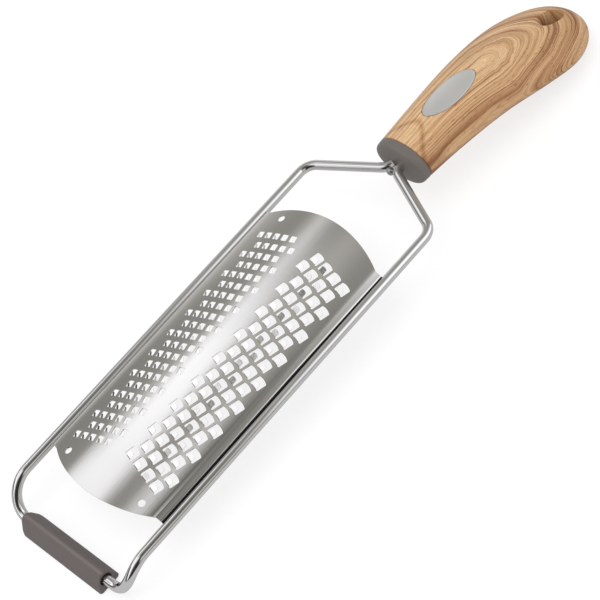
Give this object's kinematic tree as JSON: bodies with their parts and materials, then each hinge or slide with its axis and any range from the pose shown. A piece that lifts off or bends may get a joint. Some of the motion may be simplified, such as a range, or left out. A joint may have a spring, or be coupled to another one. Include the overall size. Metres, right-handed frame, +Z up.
{
  "type": "grater",
  "caption": "Flat hand grater: arched steel plate with coarse and fine teeth in a bent wire frame, with a foot and a wood-look handle.",
  "frame": {"origin": "under the middle of the grater's box, on the surface it rests on", "axes": "+X from the foot to the butt of the handle, +Z up out of the toothed side, +Y towards the fine teeth"},
  "size_m": [0.3024, 0.07, 0.0314],
  "materials": {
    "sheet_steel": "brushed",
    "wire_steel": "polished",
    "weld_steel": "as welded",
    "foot_plastic": "matte",
    "collar_plastic": "satin",
    "glue": "cast",
    "wood": "satin",
    "silver": "satin"
  },
  "bodies": {
    "root": {"grater_plate": "sheet_steel", "frame_wire": "wire_steel", "plate_weld_fine_side_1": "weld_steel", "plate_weld_fine_side_2": "weld_steel", "plate_weld_fine_side_3": "weld_steel", "plate_weld_coarse_side_1": "weld_steel", "plate_weld_coarse_side_2": "weld_steel", "plate_weld_coarse_side_3": "weld_steel", "neck_weld": "weld_steel", "foot_sleeve": "foot_plastic", "ferrule": "collar_plastic", "tang_adhesive": "glue", "handle_body": "wood", "badge": "silver"}
  },
  "joints": []
}
